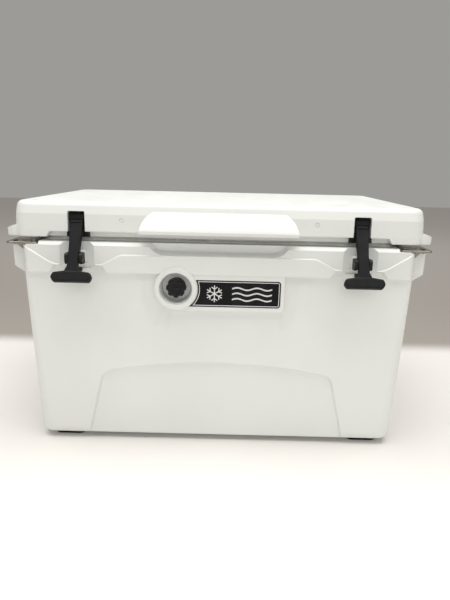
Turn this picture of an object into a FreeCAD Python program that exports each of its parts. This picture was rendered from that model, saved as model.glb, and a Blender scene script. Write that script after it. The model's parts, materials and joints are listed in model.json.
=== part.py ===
"""Insulated cooler chest, in millimetres.

Frame: +Z up, the front of the chest faces -Y, and the origin is on the ground in the middle of
the overall box. Depths below are measured back from the front face of the rim band and turned
into Y by the function back().
"""
import FreeCAD, Part
import math
import os

V = FreeCAD.Vector
X_AXIS, Y_AXIS, Z_AXIS = V(1, 0, 0), V(0, 1, 0), V(0, 0, 1)

# ---- driving dimensions --------------------------------------------------------------------
FRONT_Y = -189.8                    # Y of the rim band's front face, which centres the overall box
BAND_DEPTH = 412.0                  # front face to rear face of the rim band
BAND_HALF_X = 327.0                 # half width of the rim band's corner blocks
BAND_BOTTOM, RIM_TOP = 319.8, 371.0
BAND_BEVEL = 8.0                    # bevel along the rim's upper outer edge
BAND_CORNER_R = 9.5
PANEL_DEPTH, PANEL_SLOPE = 2.4, 2.8     # upper panel of the band: how deep, and its sloping ledge

EAR_HALF_X, EAR_FRONT = 355.5, 28.0     # side grips: half width, and depth where they begin
EAR_TOP, EAR_BOTTOM, EAR_ROOT = 361.0, 325.0, 308.0
GRIP_X, GRIP_HALF, GRIP_INSET = 341.0, 9.0, 95.0
GRIP_TOP = 340.0

BASE_Z = 6.5                        # underside of the moulded body, held up by the rubber feet
WALL_HEAD_Z = 335.0                 # top of the lower walls, inside the band
WALL_TOP_HALF_X, WALL_FOOT_HALF_X = 330.5, 328.5
WALL_TOP_DEPTH, WALL_FOOT_DEPTH = 5.0, 10.0     # front wall behind the band's face
CORNER_TOP_R, CORNER_FOOT_R, BASE_R = 9.0, 26.0, 20.0
BELLY_RISE = 4.5                    # how far the underside between the legs is above the legs'
LEG_INNER_X = 241.0
SKIN = 4.5                          # thickness of the moulded skins

CAVITY_HALF_X, CAVITY_FRONT, CAVITY_BACK = 272.0, 54.0, 358.0
CAVITY_FLOOR, CAVITY_DRAFT, CAVITY_R, FLOOR_R = 50.0, 8.0, 30.0, 12.0
LEDGE_Z, LEDGE_STEP = 338.0, 5.0
FOAM_FRONT, FOAM_EDGE_R = 24.0, 14.0

LATCH_X = 237.0                     # both latches, left and right
CHANNEL_HALF, CHANNEL_FLOOR_HALF, CHANNEL_DEPTH = 36.0, 12.0, 12.0
RAISED_EDGE_Z = 332.0               # band's lower edge around each latch
RAISED_FLAT_HALF, RAISED_FOOT_HALF = 37.0, 51.0
BOSS_HALF, BOSS_FRONT, BOSS_Z0, BOSS_Z1 = 13.4, -2.5, 335.6, 357.4      # keeper's moulded seat

VENT_X, VENT_Z = -72.0, 295.0
VENT_RING_R, VENT_RING_FACE, VENT_MOUTH_R, VENT_FLOOR_R, VENT_FLOOR = 37.4, -2.6, 28.0, 24.6, 23.0
PLATE_RIGHT, PLATE_BOTTOM, PLATE_TOP = 106.5, 264.6, 311.0
PLATE_ARC_R = 38.2
FRAME_RIGHT, FRAME_BOTTOM, FRAME_FACE = 113.5, 256.5, 1.5

LID_HALF_X, LID_BEND_HALF_X, LID_TOP_HALF_X = 344.5, 342.8, 341.0
LID_FRONT, LID_BEND_FRONT, LID_TOP_FRONT = 6.5, 8.6, 15.0
LID_BACK, LID_TOP_BACK = 408.0, 405.0
LID_PAD_BOTTOM, LID_BOTTOM, LID_BEND_Z, LID_TOP = 378.1, 387.5, 416.5, 436.5
LID_CORNER_R, LID_EDGE_R = 22.0, 11.0
SKIRT_DEPTH = 20.5                  # front of the lid's underside, behind the open lip
LIP_HALF_X = 282.0                  # half width of the open lip between the lid's corner pads
GRIP_LIP_HALF, GRIP_LIP_R = 131.0, 38.0     # grip lip in the middle of the lid, with its end radius
FLANGE_HALF_X, FLANGE_TOP = 358.5, 394.0
PLUG_Z = 352.0
GASKET_HALF_X, GASKET_FRONT, GASKET_BACK = 296.0, 22.4, 385.0
GASKET_TOP, GASKET_WIDTH = 374.8, 10.0

POCKET_HALF, POCKET_DEPTH, POCKET_TOP = 14.25, 32.0, 421.0      # latch pocket in the lid
PIN_DEPTH, PIN_Z, PIN_R = 20.0, 410.5, 2.5
BARREL_R, BARREL_HALF = 8.2, 11.5
STRAP_LEAN = 30.0                   # degrees that a fastened strap leans forward
STRAP_LENGTH = 105.7                # from the pin to the middle of the grip bar
STRAP_FRONT, STRAP_BACK = 4.5, 4.0  # rubber in front of and behind the strap's middle plane
BAR_HALF_X, BAR_HALF_Z, BAR_HALF_Y = 33.5, 8.6, 6.2
HOOK_HALF, HOOK_REAR, HOOK_Z0, HOOK_Z1 = 11.4, -8.0, 325.0, 331.4
KEEPER_HALF, KEEPER_FACE, KEEPER_NOSE = 14.7, -6.5, -18.6
KEEPER_Z0, KEEPER_Z1, PRONG_WIDTH = 337.0, 355.0, 5.3

LOCK_X0, LOCK_X1, LOCK_FRONT, LOCK_REAR = 303.6, 355.8, 3.0, 64.0
LOCK_Z, LOCK_THICK, LOCK_SHELF_Z = 366.1, 3.2, 366.1
GUSSET_X, GUSSET_Z = 338.5, 357.2

HINGE_X, HINGE_DEPTH, HINGE_Z, KNUCKLE_R = 190.0, 415.0, 380.0, 6.5
LEAF_HALF, LEAF_THICK = 46.0, 3.0
KNUCKLES = [(-46, -28), (-27.5, -10), (-9.5, 9.5), (10, 27.5), (28, 46)]
RUNNING = 0.05                      # radial clearance of turning fits
DRAIN_Z, DRAIN_DEPTH = 81.0, 206.0
DRAIN_SEAT_X = WALL_FOOT_HALF_X - 14.0
FOOT_X, FOOT_INSET, FOOT_HALF_X, FOOT_HALF_Y, FOOT_R = 277.0, 48.0, 29.0, 21.0, 12.0
FOOT_TOP = BASE_Z + 3.5


def back(depth):
    """Y of a point that lies this far behind the rim band's front face."""
    return FRONT_Y + depth


# ---- shape helpers -------------------------------------------------------------------------
def rounded_wire(x0, x1, y0, y1, r, z):
    """Closed wire of a rectangle with rounded corners at height z."""
    q = r * (1 - math.sqrt(0.5))
    corners = [
        (V(x0 + r, y0, z), V(x1 - r, y0, z), V(x1 - q, y0 + q, z), V(x1, y0 + r, z)),
        (V(x1, y0 + r, z), V(x1, y1 - r, z), V(x1 - q, y1 - q, z), V(x1 - r, y1, z)),
        (V(x1 - r, y1, z), V(x0 + r, y1, z), V(x0 + q, y1 - q, z), V(x0, y1 - r, z)),
        (V(x0, y1 - r, z), V(x0, y0 + r, z), V(x0 + q, y0 + q, z), V(x0 + r, y0, z)),
    ]
    edges = []
    for start, end, middle, after in corners:
        edges.append(Part.makeLine(start, end))
        edges.append(Part.Arc(end, middle, after).toShape())
    return Part.Wire(edges)


def block(x0, x1, d0, d1, z0, z1, r=0.0):
    """Box between depths d0 and d1, with its upright edges rounded to r."""
    if r:
        wire = rounded_wire(x0, x1, back(d0), back(d1), r, z0)
        return Part.Face(wire).extrude(V(0, 0, z1 - z0))
    return Part.makeBox(x1 - x0, d1 - d0, z1 - z0, V(x0, back(d0), z0))


def tapered(sections, ruled=True):
    """Solid through rounded rectangles, each (x0, x1, d0, d1, r, z)."""
    wires = [rounded_wire(x0, x1, back(d0), back(d1), r, z) for x0, x1, d0, d1, r, z in sections]
    return Part.makeLoft(wires, True, ruled)


def front_prism(points, d0, d1):
    """Polygon of (x, z) points run from depth d0 to depth d1."""
    ring = [V(x, back(d0), z) for x, z in points]
    return Part.Face(Part.makePolygon(ring + ring[:1])).extrude(V(0, d1 - d0, 0))


def plan_prism(points, z0, z1):
    """Polygon of (x, depth) points run from z0 to z1."""
    ring = [V(x, back(d), z0) for x, d in points]
    return Part.Face(Part.makePolygon(ring + ring[:1])).extrude(V(0, 0, z1 - z0))


def side_prism(points, x0, x1):
    """Polygon of (depth, z) points run from x0 to x1."""
    ring = [V(x0, back(d), z) for d, z in points]
    return Part.Face(Part.makePolygon(ring + ring[:1])).extrude(V(x1 - x0, 0, 0))


def outline(runs, d):
    """Closed wire of (x, z) runs at depth d: two points make a line, more make a smooth curve."""
    edges = []
    for run in runs:
        points = [V(x, back(d), z) for x, z in run]
        if len(points) == 2:
            edges.append(Part.makeLine(points[0], points[1]))
        else:
            curve = Part.BSplineCurve()
            curve.interpolate(points)
            edges.append(curve.toShape())
    return Part.Wire(edges)


def s_run(x0, z0, x1, z1, steps=6):
    """Points of an S-shaped curve that is level at both ends."""
    shares = [k / steps for k in range(steps + 1)]
    return [(x0 + (x1 - x0) * t, z0 + (z1 - z0) * smooth(t)) for t in shares]


def flipped(runs):
    """The same outline mirrored in X, running the same way round."""
    return [[(-x, z) for x, z in run[::-1]] for run in runs[::-1]]


def rod(r, length, base, axis):
    return Part.makeCylinder(r, length, base, axis)


def mirrored(shape):
    return shape.mirror(V(0, 0, 0), X_AXIS)


def near(edge, **limits):
    """True if the edge's box lies inside the given limits, such as z=(0, 10)."""
    box = edge.BoundBox
    spans = {"x": (box.XMin, box.XMax), "y": (box.YMin, box.YMax), "z": (box.ZMin, box.ZMax)}
    return all(lo <= spans[k][0] and spans[k][1] <= hi for k, (lo, hi) in limits.items())


def rounded(shape, r, edges, label=""):
    """Shape with these edges rounded; edges that can't take the radius stay sharp."""
    if not edges:
        print("no edges for", label)
        return shape
    try:
        made = shape.makeFillet(r, edges)
        if made.isValid() and made.Volume > 0:
            return made
    except Exception:
        pass
    left = 0
    for mark in [(e.CenterOfMass, e.Length) for e in edges]:
        found = [e for e in shape.Edges
                 if e.CenterOfMass.distanceToPoint(mark[0]) < 0.6 and abs(e.Length - mark[1]) < 1.5]
        try:
            made = shape.makeFillet(r, found[:1])
            if made.isValid() and made.Volume > 0:
                shape = made
                continue
        except Exception:
            pass
        left += 1
    print("rounded", label, "left sharp:", left, "of", len(edges))
    return shape


def solid_of(shape):
    """The shape's one solid, checked."""
    solids = shape.Solids
    if len(solids) != 1:
        print("expected one solid and found", len(solids), [round(s.Volume) for s in solids])
        return max(solids, key=lambda s: s.Volume)
    return solids[0]


def smooth(t):
    t = max(0.0, min(1.0, t))
    return t * t * (3 - 2 * t)


# ---- chest body ----------------------------------------------------------------------------
def front_wall_depth(x, z):
    """Depth of the moulded front wall: draft, a scoop under each latch and a soft valley."""
    share = (BAND_BOTTOM - z) / (BAND_BOTTOM - BASE_Z)
    depth = WALL_TOP_DEPTH + (WALL_FOOT_DEPTH - WALL_TOP_DEPTH) * share
    across = abs(x)
    scoop = math.exp(-((across - LATCH_X) / 34.0) ** 2) * smooth((z - 255.0) / 65.0)
    fall = smooth((300.0 - z) / 150.0)
    valley_x = 192.0 - 62.0 * fall ** 1.6
    strength = smooth((318.0 - z) / 50.0) * smooth((z - 135.0) / 60.0)
    valley = math.exp(-((across - valley_x) / 15.0) ** 2)
    middle = smooth((valley_x - across + 16.0) / 32.0)
    return depth + 6.0 * scoop + strength * (1.8 * valley + 1.6 * middle)


def front_wall_cutter():
    """Solid in front of the moulded front wall."""
    columns, rows = 57, 29
    reach, top, bottom = 345.0, 345.0, -5.0
    grid = []
    for i in range(columns):
        x = -reach + 2 * reach * i / (columns - 1)
        line = []
        for j in range(rows):
            z = bottom + (top - bottom) * j / (rows - 1)
            line.append(V(x, back(front_wall_depth(x, z)), z))
        grid.append(line)
    surface = Part.BSplineSurface()
    surface.interpolate(grid)
    return surface.toShape().extrude(V(0, -70, 0))


def lower_body():
    """Walls and base of the moulding, before the band is added."""
    half, foot = WALL_TOP_HALF_X, WALL_FOOT_HALF_X
    rise = (WALL_HEAD_Z - BASE_Z) / (BAND_BOTTOM - BASE_Z)
    top_half = foot + (half - foot) * rise
    rear_top, rear_foot = BAND_DEPTH - WALL_TOP_DEPTH, BAND_DEPTH - WALL_FOOT_DEPTH
    rear_high = rear_foot + (rear_top - rear_foot) * rise
    solid = tapered([
        (-foot, foot, -40.0, rear_foot, CORNER_FOOT_R, BASE_Z),
        (-top_half, top_half, -40.0, rear_high, CORNER_TOP_R, WALL_HEAD_Z),
    ])
    solid = solid_of(solid.cut(front_wall_cutter()))
    solid = solid_of(rounded_uprights(solid))
    base = [e for e in solid.Edges if near(e, z=(BASE_Z - 0.2, BASE_Z + 0.2))]
    return rounded(solid, BASE_R, base, "base edge")


def rounded_uprights(solid):
    """Front uprights rounded more towards the ground."""
    upright = [e for e in solid.Edges if e.BoundBox.ZLength > 300 and e.BoundBox.YMin < back(30)
               and abs(e.CenterOfMass.x) > 300]
    for middle in [e.CenterOfMass for e in upright]:
        edge = min(solid.Edges, key=lambda e: e.CenterOfMass.distanceToPoint(middle))
        radii = (CORNER_FOOT_R, CORNER_TOP_R)
        if edge.Vertexes[0].Z > edge.Vertexes[-1].Z:
            radii = radii[::-1]
        try:
            made = solid.makeFillet(radii[0], radii[1], [edge])
        except Exception:
            made = None
        if made is None or not made.isValid():
            print("upright kept at one radius")
            made = rounded(solid, CORNER_FOOT_R - 2, [edge], "upright")
        solid = made
    return solid


def arch_wire(depth, grow):
    """Outline of the panel between the legs: splayed legs, round shoulders, arched top."""
    y = back(depth)
    left = [V(-241.0 - grow, y, -4), V(-209.0 - grow, y, 122.0 + 0.3 * grow),
            V(-187.0 - 0.4 * grow, y, 141.0 + grow)]
    right = [V(-p.x, p.y, p.z) for p in left]
    bend = V(-202.0 - 0.8 * grow, y, 134.3 + 0.7 * grow)
    edges = [
        Part.makeLine(left[0], left[1]),
        Part.Arc(left[1], bend, left[2]).toShape(),
        Part.Arc(left[2], V(0, y, 159.0 + grow), right[2]).toShape(),
        Part.Arc(right[2], V(-bend.x, y, bend.z), right[1]).toShape(),
        Part.makeLine(right[1], right[0]),
        Part.makeLine(right[0], left[0]),
    ]
    return Part.Wire(edges)


def arch_recess():
    """Shallow panel between the legs, with sloping sides."""
    prism = Part.makeLoft([arch_wire(-20, 17.0), arch_wire(30, -13.0)], True, True)
    high, low = front_wall_depth(0, 165) + 3.6, WALL_FOOT_DEPTH + 5.5
    wedge = side_prism([(-20, -5), (low, -5), (low, BASE_Z), (high, 165), (high, 195), (-20, 195)], -300, 300)
    return prism.common(wedge)


def band():
    """Rim band with its corner blocks, side grips, latch channels and lower edge."""
    blocks = block(-BAND_HALF_X, BAND_HALF_X, 0, BAND_DEPTH, BAND_BOTTOM, RIM_TOP, BAND_CORNER_R)
    top = [e for e in blocks.Edges if near(e, z=(RIM_TOP - 0.1, RIM_TOP + 0.1))]
    blocks = blocks.makeChamfer(BAND_BEVEL, top)
    cuts = [finger_pocket()]
    for side in (-1, 1):
        cuts += [raised_edge(side), latch_channel(side), lock_shelf(side), upper_panel(side)]
    for cut in cuts:
        blocks = blocks.cut(cut)
    blocks = solid_of(blocks)
    lower = [e for e in blocks.Edges if near(e, z=(BAND_BOTTOM - 0.1, RAISED_EDGE_Z + 0.2), y=(back(-1), back(3)))
             and e.Length > 5 and e.BoundBox.YLength < 1.0]
    blocks = rounded(blocks, 2.4, lower, "band lower edge")
    for side in (-1, 1):
        blocks = blocks.fuse(side_ear(side)).fuse(keeper_seat(side))
    return blocks


def side_ear(side):
    """Side grip: a flange along the side with a hollow for the fingers underneath."""
    wall = side * (WALL_TOP_HALF_X - 8)
    y = back(EAR_FRONT)
    ring = [V(wall, y, EAR_ROOT), V(side * (WALL_TOP_HALF_X - 1), y, EAR_ROOT),
            V(side * EAR_HALF_X, y, EAR_BOTTOM), V(side * EAR_HALF_X, y, EAR_TOP), V(wall, y, EAR_TOP)]
    ear = Part.Face(Part.makePolygon(ring + ring[:1])).extrude(V(0, BAND_DEPTH - 2 * EAR_FRONT, 0))
    corners = [e for e in ear.Edges if e.BoundBox.YLength < 1 and abs(abs(e.CenterOfMass.x) - EAR_HALF_X) < 1]
    ear = rounded(ear, 5.0, corners, "ear uprights")
    middle = side * GRIP_X
    grip = block(middle - GRIP_HALF, middle + GRIP_HALF, GRIP_INSET, BAND_DEPTH - GRIP_INSET, 300, GRIP_TOP, 7.0)
    roof = [e for e in grip.Edges if near(e, z=(GRIP_TOP - 0.1, GRIP_TOP + 0.1))]
    return ear.cut(rounded(grip, 4.5, roof, "grip"))


def raised_edge(side):
    """Cutter that raises the band's lower edge around a latch, with S-shaped ends."""
    x = side * LATCH_X
    low, flat, foot = BAND_BOTTOM - 1.5, RAISED_FLAT_HALF, RAISED_FOOT_HALF
    runs = [
        [(x - foot, low - 5), (x + foot, low - 5)],
        [(x + foot, low - 5), (x + foot, low)],
        s_run(x + foot, low, x + flat, RAISED_EDGE_Z),
        [(x + flat, RAISED_EDGE_Z), (x - flat, RAISED_EDGE_Z)],
        s_run(x - flat, RAISED_EDGE_Z, x - foot, low),
        [(x - foot, low), (x - foot, low - 5)],
    ]
    return Part.Face(outline(runs, -5)).extrude(V(0, WALL_TOP_DEPTH + 6.5, 0))


def latch_channel(side):
    """Upright hollow behind a latch strap, with softly curved sides."""
    x = side * LATCH_X
    span = CHANNEL_HALF - CHANNEL_FLOOR_HALF
    left = []
    for k in range(9):
        across = CHANNEL_HALF - span * k / 8
        left.append((-across, -0.3 + (CHANNEL_DEPTH + 0.3) * smooth((CHANNEL_HALF - across) / span)))
    right = [(-a, d) for a, d in left[::-1]]
    z0 = RAISED_EDGE_Z - 6

    def curve(points):
        line = Part.BSplineCurve()
        line.interpolate([V(x + a, back(d), z0) for a, d in points])
        return line.toShape()

    def straight(p, q):
        return Part.makeLine(V(x + p[0], back(p[1]), z0), V(x + q[0], back(q[1]), z0))

    front = [(CHANNEL_HALF, -6.0), (-CHANNEL_HALF, -6.0)]
    edges = [curve(left), straight(left[-1], right[0]), curve(right), straight(right[-1], front[0]),
             straight(front[0], front[1]), straight(front[1], left[0])]
    return Part.Face(Part.Wire(edges)).extrude(V(0, 0, RIM_TOP + 4 - z0))


def keeper_seat(side):
    """Moulded block in the channel that carries the keeper."""
    x = side * LATCH_X
    seat_block = block(x - BOSS_HALF, x + BOSS_HALF, BOSS_FRONT, 14.0, BOSS_Z0, BOSS_Z1)
    front = [e for e in seat_block.Edges if near(e, y=(back(BOSS_FRONT) - 0.1, back(BOSS_FRONT) + 0.1))]
    return rounded(seat_block, 1.6, front, "keeper seat")


def lock_shelf(side):
    """Lower corner of the rim that the lock plate lies on."""
    inner, outer = side * (LOCK_X0 - 2.0), side * (BAND_HALF_X + 14)
    return block(min(inner, outer), max(inner, outer), -2, LOCK_REAR + 2, LOCK_SHELF_Z, RIM_TOP + 2)


def upper_panel(side):
    """Shallow panel above the crease, with a sloping ledge."""
    crease = [
        [(332, 369), (314, 357.5), (297, 346.8), (283, 338.2), (272, 334.6), (262, RAISED_EDGE_Z + 2)],
        [(262, RAISED_EDGE_Z + 2), (204, RAISED_EDGE_Z + 2)],
        s_run(204, RAISED_EDGE_Z + 2, 158, 352.4),
        [(158, 352.4), (96, 352.4)],
    ]
    wires = []
    for drop, d in ((PANEL_SLOPE, -0.4), (0.0, PANEL_DEPTH)):
        lower = [[(x, z - drop) for x, z in run] for run in crease]
        first, last = lower[0][0], lower[-1][-1]
        closing = [[last, (96, RIM_TOP + 3)], [(96, RIM_TOP + 3), (332, RIM_TOP + 3)], [(332, RIM_TOP + 3), first]]
        runs = lower + closing
        wires.append(outline(runs if side > 0 else flipped(runs), d))
    return Part.makeLoft(wires, True, True)


def finger_pocket():
    """Hollow in the middle of the rim, with curved ends and a sloping floor."""
    wires = []
    for drop, widen, d in ((2.6, 2.0, -0.5), (-3.2, -2.5, 13.0)):
        half = [(118, 376), (115.5, 369), (111, 362.5), (104.5, 357.0), (97, 354.3), (88, 353.6)]
        right = [(x + widen, z - drop if z < 370 else z) for x, z in half]
        runs = [right, [right[-1], (-right[-1][0], right[-1][1])]]
        runs += flipped([right])
        runs += [[(-right[0][0], right[0][1]), right[0]]]
        wires.append(outline(runs, d))
    return Part.makeLoft(wires, True, True)


def vent_boss():
    """Round ring about the vent pocket, and the flat frame of the name plate beside it."""
    ring = rod(VENT_RING_R, 34, V(VENT_X, back(VENT_RING_FACE), VENT_Z), Y_AXIS)
    face = [e for e in ring.Edges if near(e, y=(back(VENT_RING_FACE) - 0.1, back(VENT_RING_FACE) + 0.1))]
    ring = rounded(ring, 4.2, face, "vent ring")
    frame = block(VENT_X, FRAME_RIGHT, FRAME_FACE, FRAME_FACE + 30, FRAME_BOTTOM, BAND_BOTTOM + 2)
    corner = [e for e in frame.Edges if e.BoundBox.YLength > 20 and e.CenterOfMass.x > 100
              and e.CenterOfMass.z < FRAME_BOTTOM + 3]
    frame = rounded(frame, 7.0, corner, "frame corner")
    rim = [e for e in frame.Edges if near(e, y=(back(FRAME_FACE) - 0.1, back(FRAME_FACE) + 0.1), x=(-40, 200),
                                          z=(0, BAND_BOTTOM))]
    rim += [e for e in frame.Edges if near(e, y=(back(FRAME_FACE) - 0.1, back(FRAME_FACE) + 0.1))
            and e.BoundBox.ZLength < 0.1 and e.CenterOfMass.z < FRAME_BOTTOM + 1]
    frame = rounded(frame, 1.8, rim, "frame rim")
    return ring.fuse(frame).removeSplitter()


def plate_outline(grow, d, bottom_r=5.0):
    """Wire of the name plate at depth d: a rectangle whose left end follows the vent ring."""
    r = PLATE_ARC_R - grow
    top, bottom, right = PLATE_TOP + grow, PLATE_BOTTOM - grow, PLATE_RIGHT + grow
    y = back(d)

    def on_arc(z):
        return VENT_X + math.sqrt(r * r - (z - VENT_Z) ** 2)

    c = bottom_r + grow
    q = c * (1 - math.sqrt(0.5))
    p_top, p_bottom = V(on_arc(top), y, top), V(on_arc(bottom), y, bottom)
    edges = [
        Part.makeLine(p_top, V(right - c, y, top)),
        Part.Arc(V(right - c, y, top), V(right - q, y, top - q), V(right, y, top - c)).toShape(),
        Part.makeLine(V(right, y, top - c), V(right, y, bottom + c)),
        Part.Arc(V(right, y, bottom + c), V(right - q, y, bottom + q), V(right - c, y, bottom)).toShape(),
        Part.makeLine(V(right - c, y, bottom), p_bottom),
        Part.Arc(p_bottom, V(VENT_X + r, y, VENT_Z), p_top).toShape(),
    ]
    return Part.Wire(edges)


def cavity(grow=0.0, top=RIM_TOP + 5):
    """Inside of the chest: drafted walls, rounded floor edge and a ledge near the rim."""
    half, low = CAVITY_HALF_X + grow, CAVITY_HALF_X - CAVITY_DRAFT + grow
    front, behind = CAVITY_FRONT - grow, CAVITY_BACK + grow
    floor = CAVITY_FLOOR - grow
    r = CAVITY_R + grow
    main = tapered([
        (-low, low, front + CAVITY_DRAFT, behind - CAVITY_DRAFT, r, floor),
        (-half, half, front, behind, r, LEDGE_Z),
    ])
    low_edge = [e for e in main.Edges if near(e, z=(floor - 0.1, floor + 0.1))]
    main = rounded(main, FLOOR_R + grow, low_edge, "cavity floor")
    step = LEDGE_STEP
    upper = tapered([
        (-half - step, half + step, front - step, behind + step, r + step, LEDGE_Z - grow),
        (-half - step - 1, half + step + 1, front - step - 1, behind + step + 1, r + step, top),
    ])
    return solid_of(main.fuse(upper).removeSplitter())


def foam_of_body():
    """Foam core between the outer moulding and the liner."""
    inset = SKIN + 2.0
    core = tapered([
        (-WALL_FOOT_HALF_X + inset, WALL_FOOT_HALF_X - inset, FOAM_FRONT, BAND_DEPTH - WALL_FOOT_DEPTH - inset,
         FOAM_EDGE_R, BASE_Z + SKIN + 8),
        (-WALL_TOP_HALF_X + inset, WALL_TOP_HALF_X - inset, FOAM_FRONT, BAND_DEPTH - WALL_TOP_DEPTH - inset,
         FOAM_EDGE_R, RIM_TOP - SKIN - 8),
    ])
    core = core.cut(cavity(SKIN))
    core = core.cut(rod(16, 120, V(VENT_X, back(0), VENT_Z), Y_AXIS))
    core = core.cut(drain_rod(44, WALL_FOOT_HALF_X - 30, WALL_FOOT_HALF_X + 90))
    core = core.cut(drain_rod(22, WALL_FOOT_HALF_X - 70, WALL_FOOT_HALF_X + 50))
    return solid_of(core)


def body_liner():
    """Inner tub of the chest, with holes for the vent and the drain."""
    slab = block(-400, 400, -20, BAND_DEPTH + 20, 0, RIM_TOP)
    tub = solid_of(cavity(SKIN).common(slab).cut(cavity()))
    mouth = [e for e in tub.Edges if near(e, z=(RIM_TOP - 0.2, RIM_TOP + 0.2), x=(-CAVITY_HALF_X - 7, CAVITY_HALF_X + 7),
                                          y=(back(CAVITY_FRONT - 7), back(CAVITY_BACK + 7)))]
    tub = rounded(tub, 2.4, mouth, "liner mouth")
    tub = tub.cut(rod(9.0, 80, V(VENT_X, back(0), VENT_Z), Y_AXIS))
    return solid_of(tub.cut(drain_rod(13.0, 240, 330)))


def body_shell():
    """Outer moulding: walls, base, rim band, side grips and vent ring."""
    body = lower_body()
    body = body.cut(arch_recess())
    body = body.fuse(band()).removeSplitter()
    body = solid_of(body.fuse(vent_boss()).removeSplitter())
    body = body.cut(cavity(SKIN))
    body = body.cut(front_prism([(-LEG_INNER_X, -1), (LEG_INNER_X, -1), (LEG_INNER_X, BASE_Z + 0.4),
                                 (LEG_INNER_X - 6, BASE_Z + BELLY_RISE), (6 - LEG_INNER_X, BASE_Z + BELLY_RISE),
                                 (-LEG_INNER_X, BASE_Z + 0.4)], -40, BAND_DEPTH + 5))
    body = solid_of(vent_hollow(body))
    body = body.cut(Part.Face(plate_outline(0.3, FRAME_FACE - 3)).extrude(V(0, 3 + 2.6, 0)))
    body = body.cut(drain_rod(36, DRAIN_SEAT_X, DRAIN_SEAT_X + 60))
    for place in foot_places():
        body = body.cut(foot_block(place, 0.0, -1.0))
    for side in (-1, 1):
        x = side * HINGE_X
        body = body.cut(block(x - LEAF_HALF - 0.3, x + LEAF_HALF + 0.3, BAND_DEPTH, BAND_DEPTH + 37, 330, RIM_TOP + 3))
    return solid_of(body.cut(foam_of_body()))


def vent_hollow(body):
    """Body with the vent's round pocket, its rounded mouth and the hole through the wall."""
    depth = VENT_FLOOR - VENT_RING_FACE + 1.4
    slope = (VENT_MOUTH_R - VENT_FLOOR_R) / (VENT_FLOOR - VENT_RING_FACE)
    pocket = Part.makeCone(VENT_MOUTH_R + 1.4 * slope, VENT_FLOOR_R, depth,
                           V(VENT_X, back(VENT_RING_FACE - 1.4), VENT_Z), Y_AXIS)
    body = body.cut(pocket)
    mouth = [e for e in body.Edges if near(e, y=(back(VENT_RING_FACE) - 0.1, back(VENT_RING_FACE) + 0.1))
             and e.BoundBox.ZLength < 2 * VENT_MOUTH_R + 1 and e.BoundBox.ZLength > 20]
    body = rounded(body, 2.4, mouth, "vent mouth")
    return body.cut(rod(9.0, 80, V(VENT_X, back(0), VENT_Z), Y_AXIS))


def foot_places():
    return [(sx * FOOT_X, d) for sx in (-1, 1) for d in (FOOT_INSET, BAND_DEPTH - FOOT_INSET)]


def foot_block(place, shrink, bottom):
    x, d = place
    half_x, half_y = FOOT_HALF_X - shrink, FOOT_HALF_Y - shrink
    return block(x - half_x, x + half_x, d - half_y, d + half_y, bottom, FOOT_TOP, FOOT_R - shrink)


def foot(place):
    """Rubber foot with a rounded tread edge, let into the base, with two screw recesses."""
    pad = foot_block(place, 0.15, 0.0)
    pad = rounded(pad, 2.0, [e for e in pad.Edges if near(e, z=(-0.1, 0.1))], "foot")
    for x in foot_screw_lines(place):
        pad = pad.cut(rod(5.0, 4.0, V(x, back(place[1]), -0.5), Z_AXIS))
        pad = pad.cut(rod(2.1, 20.0, V(x, back(place[1]), -1), Z_AXIS))
    return pad


def foot_screw_lines(place):
    return [place[0] - 17.0, place[0] + 17.0]


# ---- screws --------------------------------------------------------------------------------
BRACKET_SHANK, BRACKET_SCREW, KEEPER_SCREW, LOCK_SCREW = 1.6, 6.4, 14.0, 9.4


def screw(at, axis, head_r=4.0, head_h=2.2, shank_r=2.0, length=12.0):
    """Pan-head screw: at is under the head, axis points from the tip to the head."""
    head = rod(head_r, head_h, at, axis)
    top = [e for e in head.Edges if e.CenterOfMass.distanceToPoint(at + axis * head_h) < 0.01]
    head = rounded(head, head_h * 0.55, top, "screw head")
    shank = rod(shank_r, length, at - axis * length, axis)
    body = head.fuse(shank)
    turn = FreeCAD.Rotation(Z_AXIS, axis)
    for angle in (0, 90):
        slot = Part.makeBox(head_r * 1.1, 0.9, 1.2, V(-head_r * 0.55, -0.45, head_h - 1.0))
        slot.rotate(V(0, 0, 0), Z_AXIS, angle)
        slot.Placement = FreeCAD.Placement(at, turn).multiply(slot.Placement)
        body = body.cut(slot)
    return body.removeSplitter()


def seat(shape, at, axis, shank_r=2.0, length=12.0):
    """Hole for a screw's shank, as deep as the shank and a little more."""
    return shape.cut(rod(shank_r, length + 1.0, at - axis * (length + 0.5), axis))


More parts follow.
